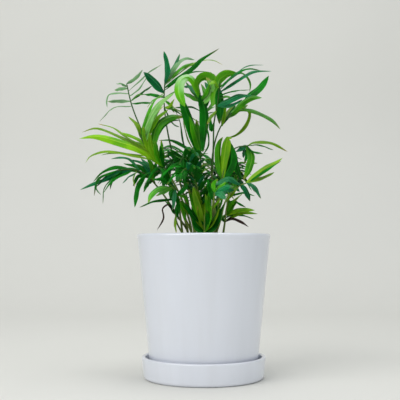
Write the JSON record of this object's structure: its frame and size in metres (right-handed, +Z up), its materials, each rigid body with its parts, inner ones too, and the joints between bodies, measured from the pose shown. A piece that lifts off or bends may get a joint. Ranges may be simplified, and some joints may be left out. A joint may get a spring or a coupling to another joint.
{
  "type": "potted bamboo palm",
  "caption": "Clump of leafy palm stems with arching feather-like fronds, in a slightly tapered round glazed pot that stands in a shallow saucer.",
  "frame": {"origin": "centre of the saucer's flat underside, on the surface that the plant stands on", "axes": "+Z up along the pot's axis, -Y towards the front as pictured, +X to the right as seen from the front"},
  "size_m": [0.2356, 0.1883, 0.3742],
  "materials": {
    "white_glaze": "glossy",
    "potting_soil": "matte",
    "palm_leaf": "satin"
  },
  "bodies": {
    "root": {"saucer": "white_glaze", "pot": "white_glaze", "soil": "potting_soil", "palm_01": "palm_leaf", "palm_02": "palm_leaf", "palm_03": "palm_leaf", "palm_04": "palm_leaf", "palm_05": "palm_leaf", "palm_06": "palm_leaf", "palm_07": "palm_leaf", "palm_08": "palm_leaf", "palm_09": "palm_leaf", "palm_10": "palm_leaf", "palm_11": "palm_leaf", "palm_12": "palm_leaf"}
  },
  "joints": []
}
